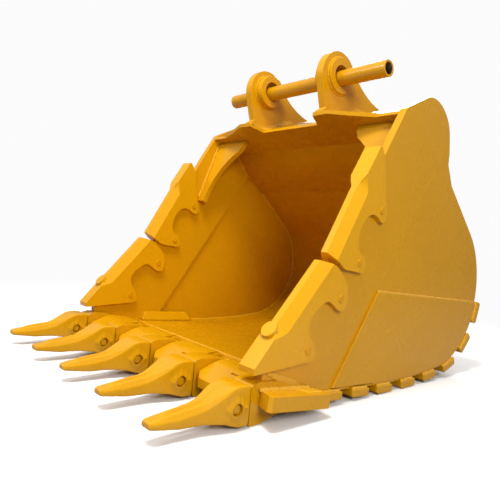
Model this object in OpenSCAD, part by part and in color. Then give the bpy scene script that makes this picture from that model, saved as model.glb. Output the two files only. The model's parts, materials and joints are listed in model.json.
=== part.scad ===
// Severe duty rock bucket for a large excavator.
// Frame: +X points from the teeth to the heel, +Y to the right hand side, +Z up.
// The bucket stands on the floor z = 0 with its origin under the middle.

/* [Bucket] */
// Width over the outer faces of the two side bars
bucket_w = 1500; // [1400:10:1700]
// Thickness of the side bars that carry the protectors
bar_t = 40; // [30:1:45]
// Thickness of the side plates
side_t = 25; // [16:1:28]
// Thickness of the wear plates on the lower side plates
wear_t = 12; // [8:1:14]
// Thickness of the floor and heel plate
floor_t = 36; // [28:1:38]
// Thickness of the back plate
back_t = 34; // [24:1:36]
// Thickness of the lip plate
lip_t = 58; // [50:1:62]

/* [Hinge] */
// Diameter of the pin bores
bore_d = 110; // [90:1:125]
// Outside diameter of the bosses
boss_d = 190; // [170:1:200]
// Clear gap between the bosses of the two ears
ear_gap = 424; // [400:2:440]
// Length of each boss
boss_l = 110; // [90:2:110]
// Thickness of each ear plate
ear_t = 47; // [40:1:50]
// Outside diameter of the transport tube
tube_d = 82; // [70:1:86]
// Length of the transport tube
tube_l = 1174; // [1000:2:1200]

/* [Teeth] */
// Half width of an adapter over the lip
adapter_half = 52; // [46:1:54]
// Half width of a tip at its rear end
tip_half = 62; // [58:1:66]
// Diameter of the tip retainers
retainer_d = 36; // [30:1:38]

/* [Guards] */
// Thickness of a side protector over both cheeks
guard_t = 86; // [80:1:94]
// Thickness of the wear strips under the heel
strip_t = 36; // [36:1:40]
// Length of a wear strip along the heel curve
strip_l = 124; // [100:2:140]

/* [Hidden] */

$fn = 64;
paint = [0.93, 0.62, 0.04];

// widths
bar_out = bucket_w / 2;
bar_in = bar_out - bar_t;
side_in = bar_out - side_t;
wear_out = bar_out + wear_t;
guard_mid = bar_out - bar_t / 2;
strip_out = wear_out + 8;
pitch = (bucket_w - 84) / 4;

// shell profile: base arc, heel arc, straight back
heel_c = [638, 485];
heel_r = 427;
base_r = 3433;
base_c = [275, 36 + base_r];
a_front = -3.44;
a_join = 6.94;
a_back = 139.4;
a_split = 84;
front_x = -376;

// point on the shell at angle a, d below the outer surface
function base_pt(a, d) = base_c + (base_r - d) * [sin(a), -cos(a)];
function heel_pt(a, d) = heel_c + (heel_r - d) * [sin(a), -cos(a)];
function along(p, a, s) = p + s * [cos(a), sin(a)];
// front end of the floor, cut upright at x = front_x
function floor_front(d) = let(p = base_pt(a_front, d)) along(p, a_front, (front_x - p[0]) / cos(a_front));
// top end of the back plate
back_run = 360;
function back_top(d) = along(heel_pt(a_back, d), a_back, back_run);

function floor_line(d) = concat([floor_front(d)],
    [for (i = [0:8]) base_pt(a_front + (a_join - a_front) * i / 8, d)],
    [for (i = [1:24]) heel_pt(a_join + (a_split - a_join) * i / 24, d)]);
function back_line(d) = concat(
    [for (i = [0:16]) heel_pt(a_split + (a_back - a_split) * i / 16, d)],
    [back_top(d)]);
function reversed(v) = [for (i = [len(v) - 1:-1:0]) v[i]];
// rounds an open outline by cutting its corners n times
function cut_corners(p) = concat([p[0]],
    [for (i = [0:len(p) - 2], t = [0.25, 0.75]) p[i] + (p[i + 1] - p[i]) * t],
    [p[len(p) - 1]]);
function smooth(p, n = 2) = n == 0 ? p : smooth(cut_corners(p), n - 1);

// lip plate: top line falls to the floor, front edge is bevelled
lip_front = -648;
lip_slope = -0.10;
lip_rear_top = 100;
function lip_top(x) = lip_rear_top + lip_slope * (x - front_x);

// hinge box
box_inner = [[443, 1120], [337, 1251], [126, 1317]];
box_t = 20;
cover_pts = [[592, 1149], [551, 1232], [544, 1292], [498, 1366], [420, 1408],
    [352, 1417], [266, 1385], [162, 1332]];

// point p of the inner plate, on its upper face
function lifted(p) = p + box_t * [0.55, 0.84];
plate_fall = (box_inner[1][1] - box_inner[2][1]) / (box_inner[1][0] - box_inner[2][0]);
tab_low = [for (s = [24, -104]) box_inner[2] + s * [1, plate_fall]];
cover_foot = lifted(box_inner[2] * 0.86 + box_inner[1] * 0.14);

// pins
front_pin = [169, 1576];
rear_pin = [675, 1336];
ear_r = 134;
ear_c = [166, 1571];
// centre of the hollow between the two heads of an ear
saddle_c = [640, 1960];
saddle_r = norm(saddle_c - ear_c) - ear_r;
head_r = norm(saddle_c - rear_pin) - saddle_r;
// directions from the two heads to the middle of the hollow
ear_turn = atan2(saddle_c[1] - ear_c[1], saddle_c[0] - ear_c[0]);
rear_turn = atan2(saddle_c[1] - rear_pin[1], saddle_c[0] - rear_pin[0]);
hub_out = ear_gap / 2 + boss_l;
ear_out = hub_out - 17;
tube_pos = [169, 1576 - (bore_d - tube_d) / 2 + 0.3];
tube_shift = -23;

// pins of the side protectors
pin_points = [[-12, 848], [-141, 612], [-247, 458], [-423, 256]];
guard_pin_r = 17;

// teeth
tip_back = -704;
adapter_front = -696;
retainer_pos = [-766, 78];
nose_end = -862;
seat = 0.05;

// ---- helpers -------------------------------------------------------------

// extrude a profile drawn in x and z between two y values
module slab(y0, y1) {
    translate([0, y1, 0])
        rotate([90, 0, 0])
            linear_extrude(y1 - y0)
                children();
}

// cylinder along y between two y values
module rod(p, r, y0, y1) {
    translate([p[0], y1, p[1]])
        rotate([90, 0, 0])
            cylinder(h = y1 - y0, r = r);
}

// the left hand part, and its mirror image on the right
module mirrored() {
    mirror([0, 1, 0])
        children();
}

// ---- outlines ------------------------------------------------------------

module lip_2d() {
    polygon([
        [front_x, lip_top(front_x)],
        [lip_front + 26, lip_top(lip_front + 26)],
        [lip_front, lip_top(lip_front) - 16],
        [lip_front, lip_top(lip_front) - lip_t + 12],
        [lip_front + 14, lip_top(lip_front) - lip_t],
        [front_x - 40, lip_top(front_x - 40) - lip_t],
        [front_x, lip_top(front_x) - lip_t + 22]
    ]);
}

module floor_2d() {
    polygon(concat(floor_line(0), reversed(floor_line(floor_t))));
}

module back_2d() {
    polygon(concat(back_line(0), reversed(back_line(back_t))));
}

// filled outline of the whole shell including the hinge box
module shell_fill_2d() {
    polygon(concat(floor_line(0), back_line(0), cover_pts, [[126, 1342], [126, 1317], [-100, 1000]]));
}

// everything inside the bucket and its box, used to trim the ears
module inside_2d() {
    polygon(concat(back_line(0), cover_pts,
        [cover_foot, lifted(tab_low[1]), tab_low[1], [0, 1000], [400, 500]]));
}

module box_inner_2d() {
    polygon(concat([back_top(back_t)], box_inner,
        [lifted(box_inner[2]), lifted(box_inner[1]), lifted(box_inner[0]), back_top(0)]));
}

module cover_2d() {
    difference() {
        polygon(concat([back_top(0)], cover_pts, [cover_foot, lifted(box_inner[1]), lifted(box_inner[0])]));
        polygon([[592, 1086], [570, 1140], [531, 1224], [524, 1285], [484, 1352], [414, 1388],
            [352, 1396], [274, 1366], [196, 1331], [358, 1280], [470, 1144]]);
    }
}

// side plate and side bar share the seam line
seam_top = [546, 1237];
seam_x = -248;
seam_low = along(base_pt(a_front, 0), a_front, (seam_x - base_pt(a_front, 0)[0]) / cos(a_front));
kink = [583, 1150];
lobe = concat([[0, 1097], [75, 1227], [146, 1345], [200, 1374]],
    smooth([[262, 1405], [350, 1450], [440, 1442], [520, 1391], [560, 1330], [574, 1262], [kink[0], kink[1] + 60]]),
    [kink]);

module side_plate_2d() {
    polygon(concat([seam_low], [for (p = floor_line(0)) if (p[0] > seam_low[0]) p],
        back_line(0), [kink, seam_top]));
}

module side_bar_2d() {
    difference() {
        polygon(concat([seam_top, seam_low, floor_front(0), [front_x, lip_top(front_x)],
            [-640, lip_top(-640)], [-640, 192], [-600, 222], [-498, 333], [-285, 569],
            [-250, 619], [-90, 921]], lobe));
        adapter_2d();
        lip_2d();
        pin_holes_2d();
    }
}

// bores for the pins that hold the side protectors
module pin_holes_2d() {
    for (p = pin_points)
        translate(p)
            circle(r = guard_pin_r);
}

bead_z = 484;
module wear_plate_2d() {
    difference() {
        intersection() {
            polygon(concat([[-236, 76]],
                [for (i = [0:8]) base_pt(a_front + (a_join - a_front) * i / 8, 15)],
                [for (i = [1:24]) heel_pt(a_join + (a_split - a_join) * i / 24, 15)],
                [[1080, 560], [100, 560], [58, 518]]));
            polygon([[-300, 0], [1200, 0], [1200, 398], [12, bead_z], [-60, 400]]);
        }
        polygon([[-400, -136], seam_low + [3, 0], seam_top + [3, 0], [-600, 1237]]);
    }
}

function arc(c, r, a, b, n) = [for (i = [0:n]) c + r * [cos(a + (b - a) * i / n), sin(a + (b - a) * i / n)]];
// front edge, front head, saddle, rear head, then the foot on the back plate
module ear_2d() {
    difference() {
        polygon(concat([[46, 1330], [46, 1362], [80, 1392], [68, 1426], [51, 1481]],
            arc(ear_c, ear_r, 198, ear_turn, 40),
            arc(saddle_c, saddle_r, 180 + ear_turn, 180 + rear_turn, 24),
            arc(rear_pin, head_r, rear_turn, 0, 24),
            [[842, 1160], [862, 960], [846, 868], [600, 900], [300, 1200]]));
        inside_2d();
    }
}

// ---- shell ---------------------------------------------------------------

module lip_plate() {
    color(paint)
        slab(-bar_out, bar_out)
            lip_2d();
}

module floor_plate() {
    color(paint)
        difference() {
            slab(-side_in, side_in)
                floor_2d();
            bar_notches();
        }
}

// room for the side bars, which are thicker than the side plates
module bar_notches() {
    slab(-side_in - 1, -bar_in)
        bar_zone_2d();
    slab(bar_in, side_in + 1)
        bar_zone_2d();
}

module bar_zone_2d() {
    polygon([seam_low + [-0.6, -60], seam_low, seam_top, kink, [620, kink[1]], [620, 1500],
        [-700, 1500], [-700, -20]]);
}

module back_plate() {
    color(paint)
        slab(-side_in, side_in)
            back_2d();
}

module box_inner_plate() {
    color(paint)
        union() {
            difference() {
                slab(-side_in, side_in)
                    box_inner_2d();
                bar_notches();
            }
            // tabs under the ears reach forward past the edge
            ear_tab();
            mirrored()
                ear_tab();
        }
}

module ear_tab() {
    intersection() {
        slab(-620, -200)
            polygon([tab_low[0], tab_low[1], lifted(tab_low[1]), lifted(tab_low[0])]);
        linear_extrude(2000)
            polygon([[160, -205], [128, -215], [84, -232], [42, -252], [40, -345],
                [87, -466], [112, -545], [135, -610], [160, -618]]);
    }
}

module box_cover() {
    color(paint)
        difference() {
            slab(-side_in, side_in)
                cover_2d();
            bar_notches();
        }
}

module side_plate_left() {
    color(paint)
        slab(-bar_out, -side_in)
            side_plate_2d();
}

module side_plate_right() {
    mirrored()
        side_plate_left();
}

module side_bar_left() {
    color(paint)
        slab(-bar_out, -bar_in)
            side_bar_2d();
}

module side_bar_right() {
    mirrored()
        side_bar_left();
}

module side_wear_plate_left() {
    color(paint)
        slab(-wear_out, -bar_out)
            wear_plate_2d();
}

module side_wear_plate_right() {
    mirrored()
        side_wear_plate_left();
}

// sloping corner plate between the side bar and the box
gusset_foot = [30, 888];
gusset_lean = 70.2;
gusset_t = 34;
module corner_gusset_left() {
    color(paint)
        difference() {
            translate([gusset_foot[0], -bar_in, gusset_foot[1]])
                rotate([0, 90 - gusset_lean, 0])
                    rotate([90, 0, 90])
                        linear_extrude(gusset_t)
                            difference() {
                                polygon([[0, 0], [60, 0], [258, 400], [272, 490], [0, 490]]);
                                translate([494, 10])
                                    circle(r = 436, $fn = 96);
                            }
            slab(-bar_out, 0)
                polygon([[-200, 1419], [126, 1317], [337, 1251], [500, 1500], [-200, 1700]]);
        }
}

module corner_gusset_right() {
    mirrored()
        corner_gusset_left();
}

// raised wear block in the corner between floor and side
module corner_liner_left() {
    color(paint)
        intersection() {
            slab(-bar_in, -bar_in + 62)
                difference() {
                    polygon([[-362, 60], [-322, 152], [-14, 136], [30, 60]]);
                    floor_2d();
                    lip_2d();
                    polygon(concat(floor_line(0), [[600, -100], [-400, -100]]));
                    polygon([[-400, 0], [-400, 102], [front_x, 100], floor_front(floor_t),
                        floor_line(floor_t)[1], [100, 69], [100, 0]]);
                }
            translate([0, -bar_in, 0])
                rotate([90, 0, 90])
                    translate([0, 0, -400])
                        linear_extrude(600)
                            polygon([[0, 40], [62, 40], [62, 96], [30, 160], [0, 160]]);
        }
}

module corner_liner_right() {
    mirrored()
        corner_liner_left();
}

// ---- hinge ---------------------------------------------------------------

module ear_left() {
    color(paint)
        difference() {
            slab(-ear_out, -ear_out + ear_t)
                ear_2d();
            rod(front_pin, boss_d / 2, -ear_out - 1, -ear_out + ear_t + 1);
            rod(rear_pin, boss_d / 2, -ear_out - 1, -ear_out + ear_t + 1);
        }
}

module ear_right() {
    mirrored()
        ear_left();
}

module boss(p) {
    color(paint)
        difference() {
            rod(p, boss_d / 2, -hub_out, -hub_out + boss_l);
            rod(p, bore_d / 2, -hub_out - 1, -hub_out + boss_l + 1);
        }
}

module front_boss_left() {
    boss(front_pin);
}

module front_boss_right() {
    mirrored()
        boss(front_pin);
}

module rear_boss_left() {
    boss(rear_pin);
}

module rear_boss_right() {
    mirrored()
        boss(rear_pin);
}

module transport_tube() {
    color(paint)
        difference() {
            rod(tube_pos, tube_d / 2, tube_shift - tube_l / 2, tube_shift + tube_l / 2);
            rod(tube_pos, tube_d * 0.37, tube_shift - tube_l / 2 - 1, tube_shift + tube_l / 2 + 1);
        }
}

// ---- wear strips and blocks ------------------------------------------------

// angle of each strip on the base arc (1 to 5) and on the heel arc (6 to 8)
strip_x = [-231, -34, 157, 361, 573];
strip_a = [18.8, 45.5, 72.2];

module wear_strip(i) {
    color(paint)
        difference() {
            if (i <= 2)
                strip_at(along(base_pt(a_front, 0), a_front,
                    (strip_x[i - 1] - base_pt(a_front, 0)[0]) / cos(a_front)), a_front);
            else if (i <= 5)
                strip_at(base_pt(asin((strip_x[i - 1] - base_c[0]) / base_r), 0),
                    asin((strip_x[i - 1] - base_c[0]) / base_r));
            else
                strip_at(heel_pt(strip_a[i - 6], 0), strip_a[i - 6]);
            slab(-strip_out - 1, strip_out + 1)
                shell_fill_2d();
        }
}

// bar across the shell, tangent at point p
module strip_at(p, a) {
    translate([p[0], 0, p[1]])
        rotate([0, -a, 0])
            slab(-strip_out, strip_out)
                polygon([[-strip_l / 2, 6], [-strip_l / 2, 8 - strip_t], [8 - strip_l / 2, -strip_t],
                    [strip_l / 2 - 8, -strip_t], [strip_l / 2, 8 - strip_t], [strip_l / 2, 6]]);
}

// block welded outside the corner adapter and the end of the lip
module corner_block_left() {
    color(paint)
        difference() {
            translate([-356, 0, 68])
                rotate([0, 6.4, 0])
                    intersection() {
                        slab(-adapter_out() - 90, -bar_out)
                            polygon([[-340, -28], [0, -28], [0, 28], [-340, 28]]);
                        translate([0, 0, -40])
                            linear_extrude(80)
                                polygon([[-318, -adapter_out() - 90], [0, -adapter_out() - 90], [0, 0],
                                    [-300, 0], [-300, -adapter_out()], [-328, -adapter_out() - 74]]);
                    }
            slab(-adapter_out(), 0)
                adapter_2d();
        }
}

module corner_block_right() {
    mirrored()
        corner_block_left();
}

// ---- teeth ---------------------------------------------------------------

function adapter_out() = 2 * pitch + adapter_half;
function tooth_y(i) = (i - 3) * pitch;

module adapter_2d() {
    difference() {
        polygon([[adapter_front, 4], [adapter_front + 6, 0], [-646, 0], [-590, 16], [-520, 28],
            [-462, lip_top(-462) - lip_t], [-500, 100], [-455, lip_top(-455)], [-520, 137],
            [-591, 153], [-660, 158], [adapter_front + 8, 152], [adapter_front, 144]]);
        lip_2d();
    }
}

module nose_2d() {
    polygon([[adapter_front, 28], [nose_end, 56], [nose_end - 10, 65], [nose_end - 10, 91],
        [nose_end, 102], [-790, 126], [adapter_front, 136]]);
}

module nose_plan_2d(g) {
    polygon([[adapter_front + 1, -44 - g], [nose_end - 10, -28 - g], [nose_end - 10, 28 + g],
        [adapter_front + 1, 44 + g]]);
}

module adapter(i) {
    color(paint)
        translate([0, tooth_y(i), 0])
            difference() {
                union() {
                    slab(-adapter_half, adapter_half)
                        adapter_2d();
                    intersection() {
                        slab(-60, 60)
                            nose_2d();
                        linear_extrude(200)
                            nose_plan_2d(0);
                    }
                }
                rod(retainer_pos, retainer_d / 2 + seat, -80, 6);
            }
}

// digging point with a pocket for the adapter nose
module tip(i) {
    color(paint)
        translate([0, tooth_y(i), 0])
            difference() {
                intersection() {
                    slab(-tip_half, tip_half)
                        polygon([[tip_back, 12], [tip_back - 6, 8], [-748, 8], [-812, 29], [-878, 36],
                            [-975, 37], [-1084, 53], [-1092, 61], [-1092, 72], [-1082, 79],
                            [-1010, 90], [-960, 95], [-905, 103], [-850, 125], [-800, 148],
                            [-760, 158], [tip_back - 10, 155], [tip_back, 147]]);
                    linear_extrude(200)
                        polygon(concat(tip_side(1), reversed(tip_side(-1))));
                }
                tip_pocket();
                rod(retainer_pos, retainer_d / 2 + 4, -80, 0);
            }
}

// half outline of a tip seen from above, on side s
function tip_side(s) = [for (p = [[tip_back, tip_half - 4], [tip_back - 4, tip_half], [-800, tip_half],
    [-840, 54], [-880, 43], [-920, 36], [-980, 34], [-1040, 31], [-1082, 24], [-1092, 16]]) [p[0], s * p[1]]];

// the pocket keeps 2 mm round the nose
module tip_pocket() {
    intersection() {
        slab(-60, 60)
            polygon([[adapter_front, 26], [nose_end, 54], [nose_end - 14, 64], [nose_end - 14, 92],
                [nose_end, 104], [-790, 128], [adapter_front, 138]]);
        linear_extrude(200)
            polygon([[adapter_front + 1, -46], [nose_end - 14, -30], [nose_end - 14, 30],
                [adapter_front + 1, 46]]);
    }
}

// quarter turn lock pin, seated in the adapter nose
module retainer(i) {
    color(paint)
        translate([0, tooth_y(i), 0])
            difference() {
                rod(retainer_pos, retainer_d / 2, 4 - tip_half, 2);
                translate([retainer_pos[0] - 7, -tip_half, retainer_pos[1] - 7])
                    cube([14, 16, 14]);
            }
}

// cast guard on the lip between two adapters
module lip_shroud(i) {
    color(paint)
        translate([0, (i - 2.5) * pitch, 0])
            difference() {
                intersection() {
                    slab(-200, 200)
                        shroud_2d();
                    linear_extrude(200)
                        polygon([[-698, -92], [-672, -121], [-560, -121], [-470, -84], [-400, -60],
                            [-400, 60], [-470, 84], [-560, 121], [-672, 121], [-698, 92]]);
                }
                // lifting slot in the top
                translate([-624, -62, 118])
                    cube([10, 42, 40]);
            }
}

module shroud_2d() {
    difference() {
        polygon([[-698, 52], [-698, 90], [-684, 106], [-600, 138], [-560, 146], [-470, 137],
            [-400, lip_top(-400)], [-520, 90], [-560, 40], [-600, 38], [-650, 46]]);
        lip_2d();
        polygon([[-650, 0], [-640, 56], [lip_front + 14, lip_top(lip_front) - lip_t],
            [-400, lip_top(-400) - lip_t], [-400, 0]]);
    }
}

// ---- side protectors -------------------------------------------------------

ridge = 16;
chamfer_out = guard_t / 2 + 1;
chamfer_deep = 52;
// cast guard: the outline, slotted over the bar, with a chamfered leading edge
module guard(outline, start, angle, run, fade) {
    color(paint)
        difference() {
            slab(-guard_mid - guard_t / 2, -guard_mid + guard_t / 2)
                difference() {
                    polygon(outline);
                    pin_holes_2d();
                }
            slab(-bar_out, -bar_in)
                polygon(concat([[-640, 0], [-640, 192], [-600, 222], [-498, 333], [-285, 569],
                    [-250, 619], [-90, 921]], lobe, [[700, 1300], [700, 0]]));
            for (s = [-1, 1])
                translate([start[0], -guard_mid, start[1]])
                    rotate([0, -angle, 0]) {
                        rotate([90, 0, 90])
                            linear_extrude(run)
                                polygon([[s * ridge, 0], [s * ridge, 9], [s * chamfer_out, 9],
                                    [s * chamfer_out, -chamfer_deep]]);
                        chamfer_end(s, fade > 0 ? run : 0, fade);
                    }
        }
}

// the chamfer runs out over length l, so the edge widens to the full guard
module chamfer_end(s, x, l) {
    polyhedron([[x, s * ridge, 0], [x, s * ridge, 9], [x, s * chamfer_out, 9],
        [x, s * chamfer_out, -chamfer_deep], [x + l, s * chamfer_out, 0], [x + l, s * chamfer_out, 9]],
        s * l < 0
            ? [[0, 1, 2, 3], [0, 4, 5, 1], [1, 5, 2], [2, 5, 4, 3], [3, 4, 0]]
            : [[3, 2, 1, 0], [1, 5, 4, 0], [2, 5, 1], [3, 4, 5, 2], [0, 4, 3]]);
}

upper_outline = concat([[-67, 1126], [-56, 1124], [-33, 1090]],
    smooth([[25, 840], [22, 800], [-10, 792], [-45, 822], [-90, 826], [-130, 800], [-160, 750],
        [-167, 690], [-150, 655], [-112, 640], [-96, 600], [-112, 566], [-150, 570]]),
    [[-236, 580], [-286, 612], [-334, 646], [-171, 943], [-163, 968], [-139, 1006]]);
module upper_protector_left() {
    guard(upper_outline, [-352, 613], 61.2, 368, 62);
}

module upper_protector_right() {
    mirrored()
        upper_protector_left();
}

lower_outline = concat([[-700, 190], [-428, 208]],
    smooth([[-428, 208], [-384, 210], [-380, 262], [-430, 330], [-430, 380], [-380, 425],
        [-330, 454], [-290, 432], [-248, 402], [-212, 410], [-198, 460], [-212, 520],
        [-250, 560], [-300, 600], [-369, 613]]),
    [[-586, 366], [-622, 308], [-703, 213]]);
lug_pos = [-597, 337];
lug_lean = 49;
module lower_protector_left() {
    union() {
        guard(lower_outline, [-586, 366], 48.7, 370, -84);
        color(paint)
            translate([lug_pos[0], -guard_mid, lug_pos[1]])
                rotate([0, -lug_lean, 0])
                    translate([0, 0, -12])
                        cylinder(h = 28, r = 34);
    }
}

module lower_protector_right() {
    mirrored()
        lower_protector_left();
}

module protector_pins() {
    color(paint)
        for (s = [-1, 1], p = pin_points)
            translate([0, s * guard_mid, 0])
                rod(p, guard_pin_r, -guard_t / 2 - 5, guard_t / 2 + 5);
}

// ---- assembly --------------------------------------------------------------

lip_plate();
floor_plate();
back_plate();
box_inner_plate();
box_cover();
side_bar_left();
side_bar_right();
side_plate_left();
side_plate_right();
side_wear_plate_left();
side_wear_plate_right();
corner_gusset_left();
corner_gusset_right();
corner_liner_left();
corner_liner_right();
ear_left();
ear_right();
front_boss_left();
front_boss_right();
rear_boss_left();
rear_boss_right();
corner_block_left();
corner_block_right();
wear_strip(1);  // wear_strip_1
wear_strip(2);  // wear_strip_2
wear_strip(3);  // wear_strip_3
wear_strip(4);  // wear_strip_4
wear_strip(5);  // wear_strip_5
wear_strip(6);  // wear_strip_6
wear_strip(7);  // wear_strip_7
wear_strip(8);  // wear_strip_8
adapter(1);  // adapter_1
adapter(2);  // adapter_2
adapter(3);  // adapter_3
adapter(4);  // adapter_4
adapter(5);  // adapter_5
tip(1);  // tip_1
tip(2);  // tip_2
tip(3);  // tip_3
tip(4);  // tip_4
tip(5);  // tip_5
retainer(1);  // retainer_1
retainer(2);  // retainer_2
retainer(3);  // retainer_3
retainer(4);  // retainer_4
retainer(5);  // retainer_5
lip_shroud(1);  // lip_shroud_1
lip_shroud(2);  // lip_shroud_2
lip_shroud(3);  // lip_shroud_3
lip_shroud(4);  // lip_shroud_4
upper_protector_left();
upper_protector_right();
lower_protector_left();
lower_protector_right();
protector_pins();
transport_tube();
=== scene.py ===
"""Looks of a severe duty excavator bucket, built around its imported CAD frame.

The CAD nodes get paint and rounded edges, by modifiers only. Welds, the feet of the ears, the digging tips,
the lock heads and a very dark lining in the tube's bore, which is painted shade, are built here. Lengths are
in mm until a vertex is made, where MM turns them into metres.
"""

import json
import math
import random

import bmesh
import bpy
from mathutils import Matrix, Vector, noise


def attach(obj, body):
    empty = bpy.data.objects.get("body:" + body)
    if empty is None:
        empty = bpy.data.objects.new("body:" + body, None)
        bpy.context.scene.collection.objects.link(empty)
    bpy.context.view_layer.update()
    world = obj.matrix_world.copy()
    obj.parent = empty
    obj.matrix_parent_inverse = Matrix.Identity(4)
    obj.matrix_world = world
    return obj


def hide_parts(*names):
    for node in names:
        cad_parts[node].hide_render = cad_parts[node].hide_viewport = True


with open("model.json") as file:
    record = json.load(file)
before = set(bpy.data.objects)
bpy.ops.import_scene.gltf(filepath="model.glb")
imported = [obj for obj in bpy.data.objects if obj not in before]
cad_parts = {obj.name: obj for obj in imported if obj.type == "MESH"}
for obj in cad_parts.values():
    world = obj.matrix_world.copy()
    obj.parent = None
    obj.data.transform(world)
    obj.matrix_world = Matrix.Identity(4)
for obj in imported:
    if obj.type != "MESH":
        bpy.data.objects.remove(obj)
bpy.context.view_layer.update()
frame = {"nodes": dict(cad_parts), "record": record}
scene = bpy.context.scene
MM = 0.001
SIDES = (("left", -1), ("right", 1))


# ---- materials ---------------------------------------------------------------

class Nodes:
    """A short way to add and join shader nodes."""

    def __init__(self, owner):
        self.tree = owner.node_tree

    def add(self, kind, sockets=None, **settings):
        """A new node with its settings, and then the values on its sockets."""
        node = self.tree.nodes.new(kind)
        for name, value in settings.items():
            setattr(node, name, value)
        for name, value in (sockets or {}).items():
            node.inputs[name].default_value = value
        return node

    def join(self, a, b, out=0, into=0):
        self.tree.links.new(a.outputs[out], b.inputs[into])


# sockets of a colour Mix node
MIX_A, MIX_B, MIX_OUT = 6, 7, 2


def new_material(name):
    """A material with nodes, its Nodes helper and its shader."""
    material = bpy.data.materials.new(name)
    material.use_nodes = True
    n = Nodes(material)
    return material, n, n.tree.nodes["Principled BSDF"]


def noise_at(n, coords, scale, detail=3.0, rough=0.5):
    node = n.add("ShaderNodeTexNoise", {"Scale": scale, "Detail": detail, "Roughness": rough})
    n.join(coords, node, "Object", "Vector")
    return node


def spread(n, source, low, high):
    """A noise value moved from its usual 0.3 to 0.7 into low to high."""
    node = n.add("ShaderNodeMapRange", {"From Min": 0.3, "From Max": 0.7, "To Min": low, "To Max": high})
    n.join(source, node, "Fac", "Value")
    return node


def enamel(name, light, dark, cast=0.0, wave=0.0, rough=(0.24, 0.34), coat=0.28, sparkle=0.0):
    """Glossy enamel in two close shades with orange peel, and waves, casting grain or spatter if asked."""
    material, n, shader = new_material(name)
    shader.inputs["Coat Weight"].default_value = coat
    shader.inputs["Coat Roughness"].default_value = 0.05
    shader.inputs["Coat IOR"].default_value = 1.5
    shader.inputs["IOR"].default_value = 1.42
    coords = n.add("ShaderNodeTexCoord")
    broad = noise_at(n, coords, 2.3, 4.0)
    fine = noise_at(n, coords, 38.0, 5.0, 0.6)
    mix = n.add("ShaderNodeMix", {MIX_A: dark + (1,), MIX_B: light + (1,)}, data_type="RGBA")
    blend = n.add("ShaderNodeMath", operation="ADD")
    n.join(spread(n, broad, 0.3, 0.7), blend, 0, 0)
    n.join(spread(n, fine, -0.05, 0.05), blend, 0, 1)
    n.join(blend, mix)
    n.join(mix, shader, MIX_OUT, "Base Color")
    patchy = noise_at(n, coords, 14.0, 4.0)
    n.join(spread(n, patchy, rough[0], rough[1]), shader, 0, "Roughness")
    # scale, detail, height in metres and label of each layer of relief
    grains = [(350.0, 2.0, 0.00012, "orange peel")]
    if wave:
        grains.append((7.0, 1.0, wave, "plate waviness"))
    if cast:
        grains.append((150.0, 5.0, cast, "cast skin"))
        grains.append((45.0, 2.0, cast * 2.0, "cast lumps"))
    if sparkle:
        grains.append((420.0, 3.0, sparkle, "spatter"))
    last = None
    for scale, detail, height, label in grains:
        bump = n.add("ShaderNodeBump", {"Strength": 1.0, "Distance": height}, label=label)
        n.join(noise_at(n, coords, scale, detail, 0.55), bump, "Fac", "Height")
        if last:
            n.join(last, bump, 0, "Normal")
        last = bump
    n.join(last, shader, 0, "Normal")
    n.join(last, shader, 0, "Coat Normal")
    return material


def steel_with_painted_shade(name, colour, rough):
    """Metal in the given colour with fine scratches and patches that lean to rust; given very dark, it is
    painted shade.
    """
    material, n, shader = new_material(name)
    shader.inputs["Metallic"].default_value = 1.0
    coords = n.add("ShaderNodeTexCoord")
    patch = noise_at(n, coords, 60.0, 6.0, 0.65)
    rusty = tuple(part * more for part, more in zip(colour, (1.7, 1.3, 1.1)))
    mix = n.add("ShaderNodeMix", {MIX_A: colour + (1,), MIX_B: rusty + (1,)}, data_type="RGBA")
    n.join(spread(n, patch, 0.0, 1.0), mix)
    n.join(mix, shader, MIX_OUT, "Base Color")
    n.join(spread(n, patch, rough, rough + 0.15), shader, 0, "Roughness")
    bump = n.add("ShaderNodeBump", {"Distance": 0.0002})
    n.join(noise_at(n, coords, 700.0, 3.0), bump, "Fac", "Height")
    n.join(bump, shader, 0, "Normal")
    return material


GOLD = (0.66, 0.315, 0.002)
GOLD_DARK = (0.60, 0.280, 0.0015)
# paint by material slot
PAINT = {
    "plate_paint": enamel("plate_enamel", GOLD, GOLD_DARK, wave=0.0009),
    "shell_paint": enamel("shell_enamel", (0.60, 0.280, 0.0012), (0.55, 0.252, 0.001), wave=0.0012),
    "wear_paint": enamel("wear_enamel", GOLD, GOLD_DARK, wave=0.0004, cast=0.00008),
    "protector": enamel("protector_enamel", (0.74, 0.360, 0.002), (0.68, 0.325, 0.002), cast=0.00010),
    "cast_adapter": enamel("adapter_enamel", GOLD, GOLD_DARK, cast=0.00025),
    "cast_tip": enamel("tip_enamel", (0.70, 0.335, 0.003), (0.62, 0.290, 0.002), cast=0.00030),
    "retainer_steel": enamel("retainer_enamel", (0.62, 0.295, 0.002), (0.55, 0.250, 0.002)),
    "pin_steel": enamel("pin_enamel", GOLD, GOLD_DARK),
    "tube_paint": enamel("tube_enamel", (0.60, 0.280, 0.003), (0.54, 0.248, 0.002), cast=0.00006),
}
WELD = enamel("weld_enamel", (0.78, 0.40, 0.02), (0.66, 0.32, 0.006), rough=(0.16, 0.34), coat=0.8,
              cast=0.0003, sparkle=0.0006)
# painted shade: the bore's lining is far darker than steel and stands for the shade deep inside the tube; its
# scratches and rust patches are its own
BORE = steel_with_painted_shade("bore_painted_shade_steel", (0.10, 0.09, 0.085), 0.35)


# ---- CAD nodes: paint, rounded edges and smooth shading --------------------------

# radius of the rounded edges of each kind of node, in mm
EDGE = {"lip_plate": 4, "floor_plate": 1.5, "back_plate": 1.5, "box_inner_plate": 3, "box_cover": 3,
        "side_bar": 3, "side_plate": 1.5, "side_wear_plate": 3, "corner_gusset": 3, "corner_liner": 5,
        "ear": 9, "front_boss": 4, "rear_boss": 4, "corner_block": 6, "wear_strip": 4, "adapter": 5,
        "tip": 6, "retainer": 1.5, "lip_shroud": 3, "upper_protector": 5, "lower_protector": 5,
        "protector_pins": 2.5, "transport_tube": 2}
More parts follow.
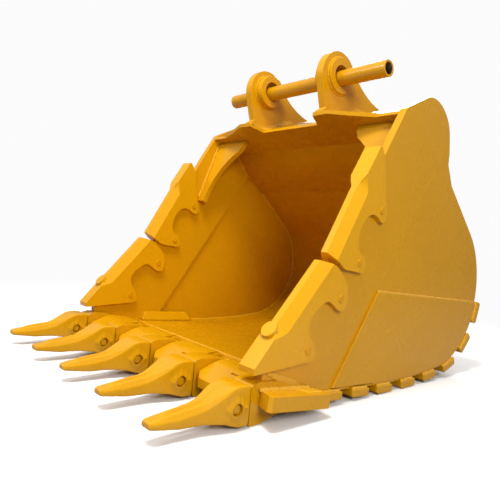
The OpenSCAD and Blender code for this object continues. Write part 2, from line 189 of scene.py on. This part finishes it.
# vertices closer than this are one, faces within the first angle are one, edges beyond the second are rounded
SAME_POINT, FLAT_ANGLE, SHARP_ANGLE = 0.02, 0.8, 28.0


def family(name):
    """A node's name without its side or number."""
    for part in ("_left", "_right"):
        name = name.removesuffix(part)
    return name.rstrip("0123456789").rstrip("_")


def soften(piece, radius):
    """Rounded edges on a CAD node, by modifiers only."""
    weld = piece.modifiers.new("weld", "WELD")
    weld.merge_threshold = SAME_POINT * MM
    flat = piece.modifiers.new("flat", "DECIMATE")
    flat.decimate_type = "DISSOLVE"
    flat.angle_limit = math.radians(FLAT_ANGLE)
    edge = piece.modifiers.new("edge", "BEVEL")
    edge.width = radius * MM
    edge.segments = 3
    edge.limit_method = "ANGLE"
    edge.angle_limit = math.radians(SHARP_ANGLE)
    edge.use_clamp_overlap = True
    edge.harden_normals = False
    edge.miter_outer = "MITER_ARC"
    shade = piece.modifiers.new("shade", "WEIGHTED_NORMAL")
    shade.mode = "FACE_AREA_WITH_ANGLE"
    shade.weight = 90
    shade.keep_sharp = False


for row in frame["record"]["subparts"]:
    cad_piece = frame["nodes"][row["node"]]
    cad_piece.data.materials.clear()
    cad_piece.data.materials.append(PAINT[row["material_slot"]])
    soften(cad_piece, EDGE[family(row["node"])])


# ---- building pieces -----------------------------------------------------------

def object_from(name, bm):
    """An object in the scene with the shape of bm, which is used up."""
    mesh = bpy.data.meshes.new(name)
    bm.to_mesh(mesh)
    bm.free()
    made = bpy.data.objects.new(name, mesh)
    scene.collection.objects.link(made)
    return made


def piece_from(name, bm, material, body):
    """A smooth mesh piece that rides on a body."""
    bmesh.ops.recalc_face_normals(bm, faces=bm.faces)
    piece = object_from(name, bm)
    for face in piece.data.polygons:
        face.use_smooth = True
    piece.data.materials.append(material)
    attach(piece, body)
    return piece


def steps(a, b, count):
    """Even steps from a to b, both included."""
    return [a + (b - a) * i / count for i in range(count + 1)]


def skin(bm, rings, closed=False):
    """Faces between rings of vertices, capped at both ends unless the last ring meets the first."""
    for a, b in zip(rings, rings[1:] + rings[:1] if closed else rings[1:]):
        for j in range(len(a)):
            k = (j + 1) % len(a)
            bm.faces.new((a[j], a[k], b[k], b[j]))
    if not closed:
        bm.faces.new(rings[0])
        bm.faces.new(list(reversed(rings[-1])))


def resample(points, step):
    """Evenly spaced points along a polyline, and its length."""
    lengths = [(b - a).length for a, b in zip(points, points[1:])]
    total = sum(lengths)
    count = max(3, int(total / step))
    found, k, done = [], 0, 0.0
    for i in range(count + 1):
        s = total * i / count
        while k < len(lengths) - 1 and s > done + lengths[k]:
            done += lengths[k]
            k += 1
        found.append(points[k].lerp(points[k + 1], (s - done) / lengths[k]))
    return found, total


# shares of a bead's radius: between its rings, from ripple to ripple, and how far a ripple's sides trail
RING_STEP, RIPPLE_STEP, TRAIL = 0.42, 1.5, 0.55
# how much of the radius a ripple and a slow swell take or add
RIPPLE_DEPTH, SWELL = 0.20, 0.10
RING_POINTS = 10


def bead(bm, points, r, out, seed, closed, flat):
    """A rippled weld bead of radius r along points; out is the way it faces, and flat below 1 lowers it."""
    pts, total = resample([Vector(p) for p in points], r * RING_STEP)
    swell_place = random.Random(seed).uniform(0, 9)
    rings = []
    for i, p in enumerate(pts):
        ahead = pts[min(i + 1, len(pts) - 1)]
        behind = pts[max(i - 1, 0)]
        if closed:
            ahead, behind = pts[(i + 1) % (len(pts) - 1)], pts[i - 1 if i else -2]
        t = (ahead - behind).normalized()
        n = Vector(out(p) if callable(out) else out)
        n = (n - t * n.dot(t)).normalized()
        b = t.cross(n)
        s = total * i / (len(pts) - 1)
        phase = (s / (r * RIPPLE_STEP)) % 1.0
        size = r * (1.0 - RIPPLE_DEPTH * phase + SWELL * noise.noise(Vector((s / (5 * r), swell_place, 0))))
        if not closed:
            # round ends
            end = min(s, total - s) / r
            size *= math.sqrt(max(0.05, 1 - (1 - min(end, 1)) ** 2))
        ring = []
        for j in range(RING_POINTS):
            a = 2 * math.pi * j / RING_POINTS
            side = math.sin(a)
            q = p + (n * math.cos(a) * flat + b * side) * size - t * (TRAIL * r * side * side)
            ring.append(bm.verts.new(q * MM))
        rings.append(ring)
    if closed:
        # the last ring lies on the first
        for v in rings.pop():
            bm.verts.remove(v)
    skin(bm, rings, closed)


def weld_bead(name, points, r, out, seed, material=WELD, closed=False, flat=1.0):
    """One bead as its own piece on the bucket."""
    bm = bmesh.new()
    bead(bm, points, r, out, seed, closed, flat)
    return piece_from(name, bm, material, "bucket")


# ---- places and sizes as in the CAD model -----------------------------------------

# the outside of the shell: a wide arc under the floor, then the heel's arc, then a straight back
HEEL, HEEL_R, BASE_R = Vector((638, 485)), 427, 3433
BASE = Vector((275, 36 + BASE_R))
A_FRONT, A_JOIN, A_BACK = -3.44, 6.94, 139.4
BACK_LENGTH, SHELL_T = 352, 35
# inside of the bars and of the side plates, and the outside of both
BAR_IN, SIDE_IN, BAR_OUT = 710, 725, 750
BAR_REAR = -170
# seam between bar and side plate, and the folded plate under the hinge box
SEAM_TOP, SEAM_LOW = (546, 1237), (-248, 58)
BOX_FOLD = [(642, 1020), (443, 1120), (337, 1251), (150, 1309)]
# doubler on the side plate: its top edge, and where its lower edge runs along the shell
WEAR_TOP = [(44, 483), (1036, 411)]
WEAR_LOW_DEPTH, WEAR_FRONT_X, WEAR_REAR_Z = 13, -236, 400
# wear strips before the wide arc, on it, and round the heel
FLAT_STRIP_X, BASE_STRIP_X, HEEL_STRIP_ANGLE = (-231, -34), (157, 361, 573), (18.8, 45.5, 72.2)
# stick pin and link pin
PINS = (("front", (169, 1576)), ("rear", (675, 1336)))
EAR_OUT, EAR_T = 305, 47
# from tooth to tooth
PITCH = 354
LOCK_X, LOCK_Z = -766.0, 78.0
# middle line of the loose tube and the radius of its bore, less a hair
TUBE_X, TUBE_Z, TUBE_R = 169, 1562.3, 30.2


def tooth_y(i):
    """Middle of tooth i, from 1 to 5."""
    return (i - 3) * PITCH


def arc_point(centre, r, a):
    a = math.radians(a)
    return (centre[0] + r * math.sin(a), centre[1] - r * math.cos(a))


def shell_line(depth):
    """Points from the front of the floor to the top of the back plate, depth below the outer face."""
    line = [arc_point(BASE, BASE_R - depth, a) for a in steps(A_FRONT, A_JOIN, 16)]
    line += [arc_point(HEEL, HEEL_R - depth, a) for a in steps(A_JOIN, A_BACK, 40)[1:]]
    a = math.radians(A_BACK)
    x, z = line[-1]
    return line + [(x + BACK_LENGTH * math.cos(a), z + BACK_LENGTH * math.sin(a))]


def at_y(points, y):
    return [(x, y, z) for x, z in points]


# ---- welds in and on the bowl ------------------------------------------------------

# where the beads of the bowl face, as x and z of its middle and a reach across, and what those under the
# doubler face away from
BOWL_X, BOWL_Z, BOWL_REACH = 420, 560, 320
WEAR_AWAY_X, WEAR_AWAY_Z, WEAR_AWAY_REACH = 420, 700, 500
inner_line = shell_line(SHELL_T)
low_line = [(x, z) for x, z in shell_line(WEAR_LOW_DEPTH) if x > WEAR_FRONT_X and z < WEAR_REAR_Z]
slope = math.atan2(SEAM_TOP[1] - SEAM_LOW[1], SEAM_TOP[0] - SEAM_LOW[0])


def bowl_welds(side_name, s):
    """Beads round the inside of one side."""
    seam = [(SEAM_LOW[0] + 30, SEAM_LOW[1] + 46), (SEAM_TOP[0] - 6, SEAM_TOP[1] - 10)]
    weld_bead("weld_seam_" + side_name, at_y(seam, s * SIDE_IN), r=9,
              out=Vector((math.sin(slope), -s, -math.cos(slope))), seed=3)
    joint = [(x, s * (SIDE_IN if x > BAR_REAR else BAR_IN), z) for x, z in inner_line]
    weld_bead("weld_bowl_" + side_name, joint, r=8,
              out=lambda p: Vector((BOWL_X - p.x, -s * BOWL_REACH, BOWL_Z - p.z)), seed=4)
    weld_bead("weld_box_" + side_name, at_y(BOX_FOLD, s * BAR_IN), r=7, out=Vector((-0.3, -s, -1)), seed=5)
    # both faces of the gusset
    for k, (away, dx, dz) in enumerate(((-1, -3, 1), (1, 33, -12))):
        edge_line = [(38 + dx, 910 + dz), (175 + dx, 1290 + dz)]
        weld_bead(f"weld_gusset_{side_name}_{k + 1}", at_y(edge_line, s * BAR_IN), r=9,
                  out=Vector((away, -s, -0.35 * away)), seed=6 + k)


def wear_plate_welds(side_name, s):
    """Beads along the top and the bottom of the doubler on one side."""
    weld_bead("weld_wear_top_" + side_name, at_y(WEAR_TOP, s * (BAR_OUT + 3)), r=8,
              out=Vector((0, s, 1)), seed=8)
    weld_bead("weld_wear_low_" + side_name, at_y(low_line, s * (BAR_OUT + 2)), r=7,
              out=lambda p: Vector((p.x - WEAR_AWAY_X, s * WEAR_AWAY_REACH, p.z - WEAR_AWAY_Z)), seed=9)


for side_name, s in SIDES:
    bowl_welds(side_name, s)
    wear_plate_welds(side_name, s)


# ---- welds at the ends of the wear strips -------------------------------------------

def strip_places():
    """Middle of each wear strip on the shell, its slope in degrees and whether it is on the heel."""
    foot_x, foot_z = arc_point(BASE, BASE_R, A_FRONT)
    rise = math.tan(math.radians(A_FRONT))
    found = [((x, foot_z + (x - foot_x) * rise), A_FRONT, False) for x in FLAT_STRIP_X]
    for x in BASE_STRIP_X:
        a = math.degrees(math.asin((x - BASE[0]) / BASE_R))
        found.append((arc_point(BASE, BASE_R, a), a, False))
    return found + [(arc_point(HEEL, HEEL_R, a), a, True) for a in HEEL_STRIP_ANGLE]


# half the length of the bead along the end of a strip
STRIP_BEAD_HALF = 56


def strip_weld(name, place, a, on_heel, s, seed):
    """A bead along the end of a wear strip."""
    (x, z), a = place, math.radians(a)
    line = []
    for u in steps(-STRIP_BEAD_HALF, STRIP_BEAD_HALF, 6):
        arch = HEEL_R - math.sqrt(HEEL_R ** 2 - u * u) if on_heel else 0
        line.append((x + u * math.cos(a) - arch * math.sin(a), s * (BAR_OUT + 7),
                     z + u * math.sin(a) + arch * math.cos(a) + 1))
    weld_bead(name, line, r=11, out=Vector((math.sin(-a) * 0.4, s, math.cos(a))), seed=seed)


# ---- heavy welds between the corner adapter, the block and the bar --------------------

BLOCK_REAR, BLOCK_SLOPE = -356, 0.112


def block_z(x, above):
    """Height of a bead on the sloping top of the corner block, which is above at its rear end."""
    return above - (x - BLOCK_REAR) * BLOCK_SLOPE


# x and z of the bead at the foot of the bar, and how far both move from row to row
BAR_FOOT = ((-612, 181, 22, -13), (-540, 160, 14, -12), (-448, 127, 12, -8))


def corner_welds(side_name, s):
    """Built-up rows of beads round one corner block."""
    top = [(x, s * (BAR_OUT + 12), block_z(x, 97)) for x in (-655, -560, -460, -375)]
    weld_bead("weld_block_top_" + side_name, top, r=17, out=Vector((0, s * 0.7, 1)), seed=40, flat=0.7)
    for row in range(5):
        y = s * (BAR_OUT + 8 + 13 * row)
        heavy = [(x, y, block_z(x, 95)) for x in (-478 + 7 * row, -372 + 4 * row)]
        weld_bead(f"weld_block_rear_{side_name}_{row + 1}", heavy, r=12, out=Vector((0, 0, 1)),
                  seed=41 + row, flat=0.55)
    for row in range(4):
        leg = [(x + dx * row, s * BAR_OUT, z + dz * row) for x, z, dx, dz in BAR_FOOT]
        weld_bead(f"weld_bar_foot_{side_name}_{row + 1}", leg, r=11, out=Vector((0, s, 0)),
                  seed=47 + row, flat=0.5)


for side_name, s in SIDES:
    for k, (place, a, on_heel) in enumerate(strip_places()):
        strip_weld(f"weld_strip_{side_name}_{k + 1}", place, a, on_heel, s, seed=20 + k)
    corner_welds(side_name, s)


# ---- welds across the bucket, at the adapters and at the shrouds ------------------------

weld_bead("weld_lip", [(-374, -640, 101), (-374, 640, 101)], r=6, out=Vector((0.1, 0, 1)), seed=50)
weld_bead("weld_back_box", [(641, -718, 1047), (641, 718, 1047)], r=8, out=Vector((1, 0, 0.9)), seed=51)

# x, distance from the middle and z along one half of the rear of an adapter
ADAPTER_REAR = ((-548, 54, 117), (-470, 54, 109), (-452, 40, 108))
for i in range(1, 6):
    y0 = tooth_y(i)
    line = [(x, y0 - half, z) for x, half, z in ADAPTER_REAR]
    line += [(x, y0 + half, z) for x, half, z in reversed(ADAPTER_REAR)]
    weld_bead(f"weld_adapter_{i}", line, r=7, out=lambda p: Vector((0.3, (p.y - y0) / 60, 1)), seed=60 + i)

# rounded rear corners of the shrouds, down to the lip: x, distance from the middle and z
SHROUD_TAIL = ((-500, 90, 126), (-470, 79, 119), (-436, 66, 107), (-404, 54, 97))
for i in range(1, 5):
    for side_name, s in SIDES:
        tail = [(x, (i - 2.5) * PITCH + s * half, z) for x, half, z in SHROUD_TAIL]
        weld_bead(f"shroud_tail_{i}_{side_name}", tail, r=13, out=Vector((0, s, 0.6)), seed=70 + i,
                  material=PAINT["protector"])


# ---- hollow feet of the ears and welds round the bosses ----------------------------------

# where an ear stands on the hinge box and the back plate, from the front to the rear
FOOT = [(52, 1361), (150, 1330), (266, 1385), (352, 1417), (420, 1408), (498, 1366), (544, 1292), (551, 1232),
        (592, 1149), (642, 1043), (780, 926), (850, 866)]
FOOT_R, FOOT_SUNK = 30, 3
BOSS_WELD_R = 97


def cut_corners(points, times):
    """A polyline made smooth by cutting its corners off again and again."""
    for _ in range(times):
        made = [points[0]]
        for a, b in zip(points, points[1:]):
            made += [tuple(Vector(a).lerp(Vector(b), t)) for t in (0.25, 0.75)]
        points = made + [points[-1]]
    return points


def normals_along(points):
    """Unit normals, to the left of an x-z line, one at each of its points."""
    found = []
    for i in range(len(points)):
        a, b = points[max(i - 1, 0)], points[min(i + 1, len(points) - 1)]
        d = Vector((b[0] - a[0], b[1] - a[1])).normalized()
        found.append(Vector((-d.y, d.x)))
    return found


def fillet(bm, line, y, side):
    """Hollow fillet along an x-z line, where an ear whose face at y faces side stands on the shell."""
    rings = []
    for k, ((x, z), n) in enumerate(zip(line, normals_along(line))):
        r = FOOT_R * (0.55 + 0.45 * math.sin(math.pi * k / (len(line) - 1)))
        sunk = (x - FOOT_SUNK * n.x, y - FOOT_SUNK * side, z - FOOT_SUNK * n.y)
        ring = [bm.verts.new(Vector(sunk) * MM)]
        for t in steps(-8, 98, 10):
            t = math.radians(t)
            up_part, out_part = r * (1 - math.sin(t)), r * (1 - math.cos(t))
            place = (x + n.x * up_part, y + side * out_part, z + n.y * up_part)
            ring.append(bm.verts.new(Vector(place) * MM))
        rings.append(ring)
    skin(bm, rings)


foot_line = cut_corners(FOOT, 3)
for side_name, s in SIDES:
    for face_name, y, side in (("outer", s * EAR_OUT, s), ("inner", s * (EAR_OUT - EAR_T), -s)):
        bm = bmesh.new()
        fillet(bm, foot_line, y, side)
        piece_from(f"ear_foot_{side_name}_{face_name}", bm, PAINT["plate_paint"], "bucket")
        for pin_name, (px, pz) in PINS:
            ring = [(px + BOSS_WELD_R * math.cos(t), y + side, pz + BOSS_WELD_R * math.sin(t))
                    for t in (2 * math.pi * k / 72 for k in range(73))]
            weld_bead(f"boss_weld_{pin_name}_{side_name}_{face_name}", ring, r=7, out=Vector((0, side, 0)),
                      seed=70, material=PAINT["plate_paint"], closed=True)


# ---- digging tips ------------------------------------------------------------------

# by x, from the rear end to the point: top, underside, half width, share of it that is flat on top,
# drop of the shoulders and height of the rib
TOP = [(-704, 147), (-710, 154), (-722, 157), (-760, 158), (-782, 154), (-800, 147), (-850, 123),
       (-885, 108), (-920, 101), (-960, 96), (-1010, 90), (-1050, 84), (-1084, 78), (-1092, 73)]
LOW = [(-704, 14), (-708, 9), (-714, 8), (-748, 8), (-780, 18), (-812, 29), (-878, 36), (-975, 37),
       (-1040, 46), (-1084, 52), (-1092, 56)]
HALF = [(-704, 57), (-707, 61), (-712, 62), (-790, 62), (-815, 60), (-840, 54), (-880, 44), (-920, 37),
        (-980, 35), (-1040, 33), (-1070, 31), (-1084, 28), (-1092, 23)]
NARROW = [(-704, 0.93), (-790, 0.92), (-850, 0.80), (-900, 0.66), (-980, 0.60), (-1050, 0.66),
          (-1092, 0.8)]
SHOULDER = [(-704, 5), (-790, 6), (-850, 14), (-920, 20), (-1000, 19), (-1050, 11), (-1092, 4)]
RIB = [(-704, 0), (-806, 0), (-830, 4), (-880, 9), (-960, 11), (-1010, 10), (-1036, 5), (-1048, 0),
       (-1092, 0)]
# where the sections stand
SECTIONS = [-704, -706, -710, -716] + steps(-724, -1076, 40) + [-1082, -1087, -1090, -1092]
# the pocket for the adapter nose: x, half width, bottom and top
POCKET = ((-706, 46, 26, 139), (-790, 40, 42, 127), (-862, 32, 55, 103), (-876, 28, 66, 90))
# the rear section that the pocket's outline is squeezed from: x, half width, bottom and top
REAR_X, REAR_HALF, REAR_LOW, REAR_TOP = -716, 62.0, 8.0, 157.0
# how crisp the top edges, the shoulders and the lower edges stay, by point of the ring, and the nose
CRISP = ((6, 0.45), (8, 0.7), (12, 0.85))
CRISP_NOSE = 0.6
# the raised diamond round the lock: half length, half height, rise, and how steep its sides are
DIAMOND_X, DIAMOND_Z, DIAMOND_RISE, DIAMOND_STEEP = 52, 44, 6.5, 11
# the diamond is only on the face beyond this y
CHEEK_Y = -50
LUMP_SIZE, LUMP_HEIGHT = 26.0, 0.5
LOCK_HOLE_R, LOCK_HOLE_DEPTH, LOCK_HOLE_Y = 22.5, 60, -76
TIP_SHARP_ANGLE = 40


def along(table, x):
    """Value at x in a table of (x, value) pairs, in a straight line between its rows."""
    if x >= table[0][0]:
        return table[0][1]
    for (x0, v0), (x1, v1) in zip(table, table[1:]):
        if x >= x1:
            t = (x0 - x) / (x0 - x1)
            return v0 + (v1 - v0) * t
    return table[-1][1]


def tip_section(x):
    """Closed ring of (y, z) points round a tip at x."""
    top, low, half = along(TOP, x), along(LOW, x), along(HALF, x)
    flat, drop, rib = half * along(NARROW, x), along(SHOULDER, x), along(RIB, x)
    high = top - drop
    side = [(0, top + rib * 0.8), (3.5, top + rib * 0.72), (6.5, top + rib * 0.1), (10, top - rib * 0.45),
            (flat * 0.72, top - rib * 0.15), (flat - 2, top), (flat + 1.5, top - 2.2),
            ((flat + half) / 2, top - drop * 0.62), (half - 1.2, high - 2), (half, high - 7),
            (half, (high + low) / 2), (half, low + 9), (half - 1.5, low + 3.5), (half - 6, low),
            (half * 0.5, low), (0, low)]
    return side + [(-y, z) for y, z in reversed(side[1:-1])]


def pocket_section(half, low, high):
    """Points of the rear section moved onto a rectangle, as (y, z)."""
    found = []
    for y, z in tip_section(REAR_X):
        v = 2 * (z - REAR_LOW) / (REAR_TOP - REAR_LOW) - 1
        u = y / REAR_HALF
        grow = max(abs(u), abs(v), 0.001)
        u, v = u / grow, v / grow
        found.append((u * half, (low + high) / 2 + v * (high - low) / 2))
    return found


def crisp_edges(bm, rings):
    """Creases that keep the shoulders, the lower edges and the nose crisp when the tip is made smooth."""
    crease = bm.edges.layers.float.new("crease_edge")
    count = len(rings[0])
    for ring in rings[len(POCKET):]:
        for j, sharp in CRISP + tuple((count - j, sharp) for j, sharp in CRISP):
            for e in ring[j].link_edges:
                if e.other_vert(ring[j]) not in ring:
                    e[crease] = sharp
    for ring in rings[-3:-1]:
        for j in range(count):
            e = bm.edges.get((ring[j], ring[(j + 1) % count]))
            e[crease] = CRISP_NOSE


def tip_object():
    """A tip at y 0, with its pocket, not yet baked."""
    bm = bmesh.new()
    rings = [[bm.verts.new(Vector((x, y, z)) * MM) for y, z in tip_section(x)] for x in SECTIONS]
    for x, half, low, high in POCKET:
        rings.insert(0, [bm.verts.new(Vector((x, y, z)) * MM) for y, z in pocket_section(half, low, high)])
    skin(bm, rings)
    crisp_edges(bm, rings)
    bmesh.ops.recalc_face_normals(bm, faces=bm.faces)
    made = object_from("tip_shape", bm)
    fine = made.modifiers.new("fine", "SUBSURF")
    fine.levels = fine.render_levels = 2
    return made


def baked_mesh(source, name):
    """The mesh of an object with its modifiers applied."""
    bpy.context.view_layer.update()
    mesh = bpy.data.meshes.new_from_object(source.evaluated_get(bpy.context.evaluated_depsgraph_get()))
    mesh.name = name
    return mesh


def emboss(mesh):
    """The raised diamond round the lock, and the uneven skin of a casting."""
    for v in mesh.vertices:
        x, y, z = (c / MM for c in v.co)
        if y < CHEEK_Y:
            near = 1 - (abs(x - LOCK_X) / DIAMOND_X + abs(z - LOCK_Z) / DIAMOND_Z)
            v.co.y -= DIAMOND_RISE * MM * max(0.0, min(1.0, near * DIAMOND_STEEP))
        lump = noise.noise(Vector((x, y, z)) / LUMP_SIZE) * LUMP_HEIGHT
        v.co += v.normal * lump * MM


def cut_lock_hole(source):
    """The mesh of a tip with the round hole for its lock."""
    bm = bmesh.new()
    place = Matrix.Translation(Vector((LOCK_X, LOCK_HOLE_Y, LOCK_Z)) * MM)
    bmesh.ops.create_cone(bm, cap_ends=True, segments=64, radius1=LOCK_HOLE_R * MM, radius2=LOCK_HOLE_R * MM,
                          depth=LOCK_HOLE_DEPTH * MM, matrix=place @ Matrix.Rotation(math.pi / 2, 4, "X"))
    cutter = object_from("lock_hole", bm)
    hole = source.modifiers.new("hole", "BOOLEAN")
    hole.object = cutter
    hole.solver = "EXACT"
    mesh = baked_mesh(source, "tip_cast")
    bpy.data.objects.remove(cutter)
    return mesh


tip_shape = tip_object()
fine_mesh = baked_mesh(tip_shape, "tip_fine")
emboss(fine_mesh)
tip_shape.modifiers.clear()
tip_shape.data = fine_mesh
tip_mesh = cut_lock_hole(tip_shape)
bpy.data.objects.remove(tip_shape)
for i in range(1, 6):
    bm = bmesh.new()
    bm.from_mesh(tip_mesh)
    bmesh.ops.translate(bm, verts=bm.verts, vec=(0, tooth_y(i) * MM, 0))
    for e in bm.edges:
        e.smooth = len(e.link_faces) == 2 and e.calc_face_angle(0) < math.radians(TIP_SHARP_ANGLE)
    tip = piece_from(f"digging_tip_{i}", bm, PAINT["cast_tip"], "bucket")
    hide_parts(f"tip_{i}")


# ---- turned pieces: the plain domed lock heads and the painted shade lining the tube's bore ---

# radius and y, from the outside of the head to the inner end of the lock
LOCK_PROFILE = ((0, -64.5), (9, -64.2), (13, -63.4), (15.6, -62.2), (17.2, -60.4), (17.9, -58), (18, -55),
                (18, 1), (17, 2), (0, 2))
BORE_LINING = 1.2
BORE_PROFILE = ((TUBE_R, -607), (TUBE_R - BORE_LINING, -606), (TUBE_R - BORE_LINING, 560), (TUBE_R, 561),
                (TUBE_R, -607))


def lathe_y(bm, profile, x, z, count=64):
    """Turned shape about a line along y, from (radius, y) points."""
    rings = []
    for r, y in profile:
        if r == 0:
            rings.append([bm.verts.new(Vector((x, y, z)) * MM)])
        else:
            turns = [2 * math.pi * k / count for k in range(count)]
            rings.append([bm.verts.new(Vector((x + r * math.cos(t), y, z + r * math.sin(t))) * MM)
                          for t in turns])
    for a, b in zip(rings, rings[1:]):
        for k in range(count):
            m = (k + 1) % count
            if len(a) == 1:
                bm.faces.new((a[0], b[k], b[m]))
            elif len(b) == 1:
                bm.faces.new((a[k], a[m], b[0]))
            else:
                bm.faces.new((a[k], a[m], b[m], b[k]))


for i in range(1, 6):
    bm = bmesh.new()
    lathe_y(bm, [(r, tooth_y(i) + y) for r, y in LOCK_PROFILE], LOCK_X, LOCK_Z)
    head = piece_from(f"tip_lock_{i}", bm, PAINT["retainer_steel"], f"retainer_{i}")
    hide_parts(f"retainer_{i}")

# a thin lining in the tube's bore, painted very dark as shade
bm = bmesh.new()
lathe_y(bm, BORE_PROFILE, TUBE_X, TUBE_Z)
bmesh.ops.remove_doubles(bm, verts=bm.verts, dist=0.01 * MM)
piece_from("tube_bore", bm, BORE, "transport_tube")


# ---- floor -------------------------------------------------------------------------

WHITE = (0.97, 0.97, 0.97, 1)
# the grey that the bucket sees, and the distances in metres over which the floor fades into the backdrop
FLOOR_GREY = (0.34, 0.33, 0.32, 1)
FADE_START, FADE_END = 1.3, 3.6
FLOOR_Z = -0.002


def floor_paint():
    """White to the camera, fading into the backdrop far away, and grey to the light that bounces off it."""
    material, n, shader = new_material("floor")
    shader.inputs["Roughness"].default_value = 0.9
    rays = n.add("ShaderNodeLightPath")
    mix = n.add("ShaderNodeMix", {MIX_A: FLOOR_GREY, MIX_B: WHITE}, data_type="RGBA")
    n.join(rays, mix, "Is Camera Ray")
    n.join(mix, shader, MIX_OUT, "Base Color")
    place = n.add("ShaderNodeTexCoord")
    far = n.add("ShaderNodeVectorMath", operation="LENGTH")
    fade = n.add("ShaderNodeMapRange", {"From Min": FADE_START, "From Max": FADE_END},
                 interpolation_type="SMOOTHSTEP")
    faded = n.add("ShaderNodeMath", operation="MULTIPLY")
    white = n.add("ShaderNodeEmission", {"Color": WHITE})
    either = n.add("ShaderNodeMixShader")
    n.join(place, far, "Object")
    n.join(far, fade, "Value", "Value")
    n.join(fade, faded, "Result", 0)
    n.join(rays, faded, "Is Camera Ray", 1)
    n.join(faded, either)
    n.join(shader, either, 0, 1)
    n.join(white, either, 0, 2)
    n.join(either, n.tree.nodes["Material Output"], 0, "Surface")
    return material


bpy.ops.mesh.primitive_plane_add(size=60, location=(0, 0, FLOOR_Z))
floor = bpy.context.object
floor.name = "floor"
floor.data.materials.append(floor_paint())


# ---- light and camera ------------------------------------------------------------

HORIZON, ZENITH = 0.18, 0.57


def studio():
    """A soft sky that lights the bucket, behind a white backdrop that only the camera sees."""
    world = bpy.data.worlds.new("studio")
    world.use_nodes = True
    n = Nodes(world)
    sky = n.tree.nodes["Background"]
    where = n.add("ShaderNodeTexCoord")
    split = n.add("ShaderNodeSeparateXYZ")
    ramp = n.add("ShaderNodeValToRGB")
    n.join(where, split, "Generated")
    n.join(split, ramp, "Z", "Fac")
    n.join(ramp, sky, "Color", "Color")
    for stop, position, grey in zip(ramp.color_ramp.elements, (0.05, 0.9), (HORIZON, ZENITH)):
        stop.position = position
        stop.color = (grey, grey, grey, 1)
    backdrop = n.add("ShaderNodeBackground", {"Color": WHITE})
    rays = n.add("ShaderNodeLightPath")
    either = n.add("ShaderNodeMixShader")
    n.join(rays, either, "Is Camera Ray")
    n.join(sky, either, 0, 1)
    n.join(backdrop, either, 0, 2)
    n.join(either, n.tree.nodes["World Output"], 0, "Surface")
    return world


def lamp(name, place, target, size, power, colour=(1, 1, 1)):
    """An area lamp; places and sizes in metres, power in watts."""
    data = bpy.data.lights.new(name, "AREA")
    data.shape = "RECTANGLE"
    data.size, data.size_y = size
    data.energy = power
    data.color = colour
    made = bpy.data.objects.new(name, data)
    scene.collection.objects.link(made)
    made.location = place
    made.rotation_euler = (Vector(target) - Vector(place)).to_track_quat("-Z", "Y").to_euler()
    return made


scene.view_settings.view_transform = "Standard"
scene.world = studio()
key = lamp("key", (-2.1, -0.9, 5.2), (0, 0, 0.6), (1.5, 1.5), 245, (1.0, 0.98, 0.95))
fill = lamp("side_fill", (-2.0, -4.6, 2.6), (0, 0, 0.6), (1.8, 1.4), 140)
key.visible_glossy = fill.visible_glossy = False
lamp("glint", (-3.2, 1.6, 3.4), (-0.2, 0, 0.7), (0.5, 0.5), 40)
lamp("rear", (4.2, 2.6, 3.6), (0.2, 0, 0.8), (2.0, 2.0), 150)

# the camera's place and axes, as solved from the straight edges in the photo
CAMERA_PLACE = (-1.8957, -2.03597, 0.6883)
CAMERA_RIGHT = Vector((0.74691, -0.6589, 0.08948))
CAMERA_FORWARD = Vector((0.66336, 0.7477, -0.03028))
camera_data = bpy.data.cameras.new("camera")
camera_data.sensor_width = 36
camera_data.lens = 35.455
camera = bpy.data.objects.new("camera", camera_data)
scene.collection.objects.link(camera)
camera_up = CAMERA_RIGHT.cross(CAMERA_FORWARD)
turn = Matrix((CAMERA_RIGHT, camera_up, -CAMERA_FORWARD)).transposed().to_4x4()
camera.matrix_world = Matrix.Translation(CAMERA_PLACE) @ turn
scene.camera = camera
